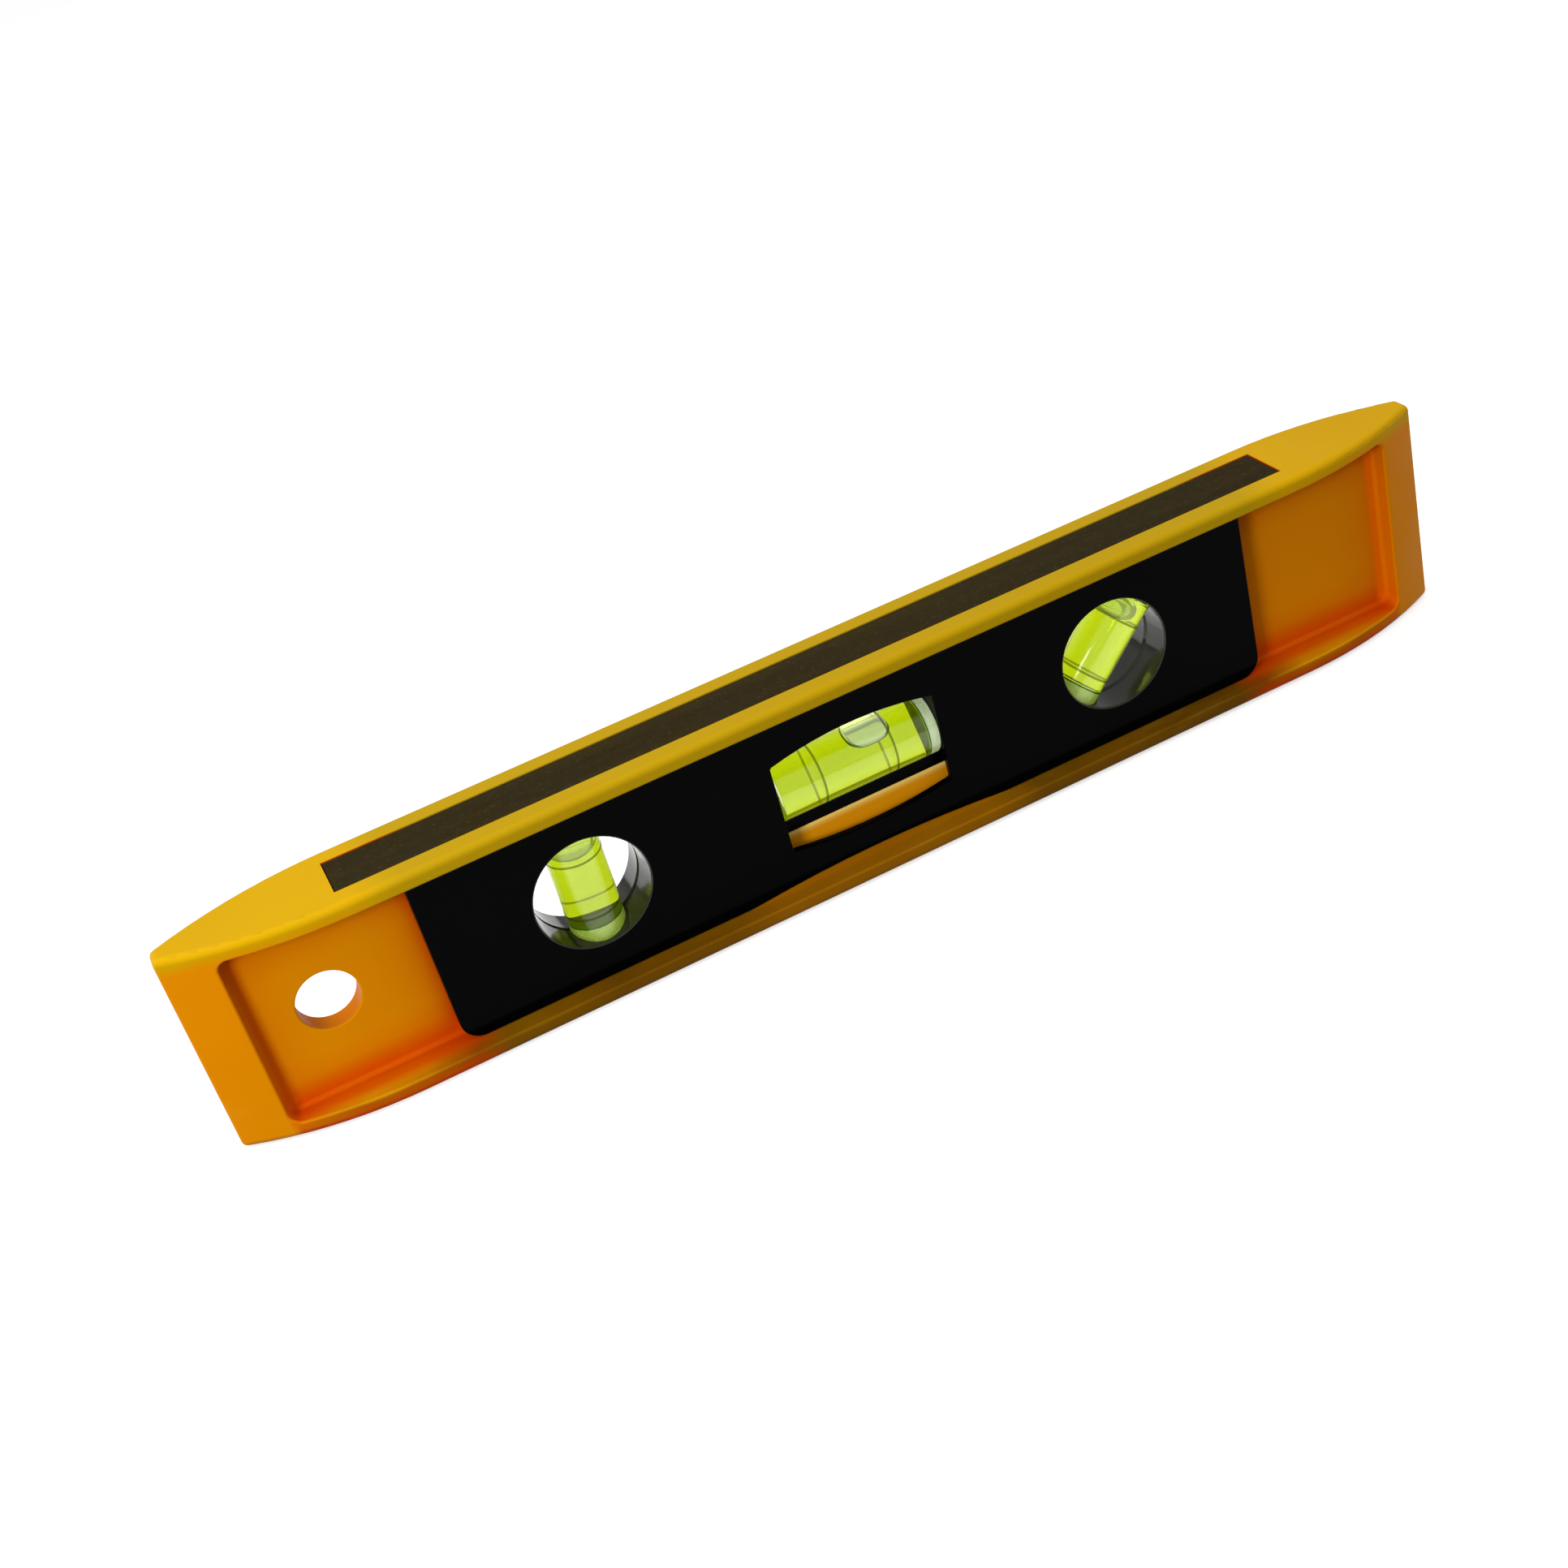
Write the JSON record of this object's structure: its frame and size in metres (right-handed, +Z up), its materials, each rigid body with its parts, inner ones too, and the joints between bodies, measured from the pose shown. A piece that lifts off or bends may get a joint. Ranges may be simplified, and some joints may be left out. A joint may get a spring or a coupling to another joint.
{
  "type": "spirit level",
  "caption": "Short moulded plastic spirit level with tapered ends, black vial panels, level, plumb and angle vials, a magnetic strip along one edge and a hanging hole.",
  "frame": {"origin": "middle of the bottom face", "axes": "+X along the level, away from the hanging hole; +Y to the rear side; +Z up, towards the face with the magnetic strip"},
  "size_m": [0.23, 0.018, 0.0385],
  "materials": {
    "body_yellow": "satin moulded plastic",
    "magnet": "matt, rubber bonded magnet",
    "adhesive": "thin tape",
    "panel_black": "gloss",
    "frame_black": "gloss",
    "vial_clear": "clear, polished",
    "plug_clear": "clear, slightly milky",
    "fluid_green": "clear yellow-green liquid",
    "air": "air bubble",
    "print_black": "printed ring"
  },
  "bodies": {
    "level_body": {"body": "body_yellow", "magnet_strip": "magnet", "strip_adhesive": "adhesive", "front_panel": "panel_black", "rear_panel": "panel_black", "level_vial_frame": "frame_black", "level_vial_tube": "vial_clear", "level_vial_plug": "plug_clear", "level_vial_fluid": "fluid_green", "level_graduations": "print_black", "plumb_vial_tube": "vial_clear", "plumb_vial_plug": "plug_clear", "plumb_vial_fluid": "fluid_green", "plumb_graduations": "print_black", "angle_vial_tube": "vial_clear", "angle_vial_plug": "plug_clear", "angle_vial_fluid": "fluid_green", "angle_graduations": "print_black"},
    "level_bubble_body": {"level_bubble": "air"},
    "plumb_bubble_body": {"plumb_bubble": "air"},
    "angle_bubble_body": {"angle_bubble": "air"}
  },
  "joints": [
    {"name": "level_bubble_slide", "type": "slide", "parent": "level_body", "child": "level_bubble_body", "axis": [1, 0, 0], "range_m": [-0.0139, 0.0051], "deforming": ["level_vial_fluid"]},
    {"name": "plumb_bubble_slide", "type": "slide", "parent": "level_body", "child": "plumb_bubble_body", "axis": [0, 0, 1], "range_m": [-0.0122, 0], "stiffness_N_per_m": 0.5, "springref_m": 0.01, "deforming": ["plumb_vial_fluid"]},
    {"name": "angle_bubble_slide", "type": "slide", "parent": "level_body", "child": "angle_bubble_body", "axis": [0.7071, 0, 0.7071], "range_m": [-0.0124, 0], "stiffness_N_per_m": 0.5, "springref_m": 0.01, "deforming": ["angle_vial_fluid"]}
  ]
}
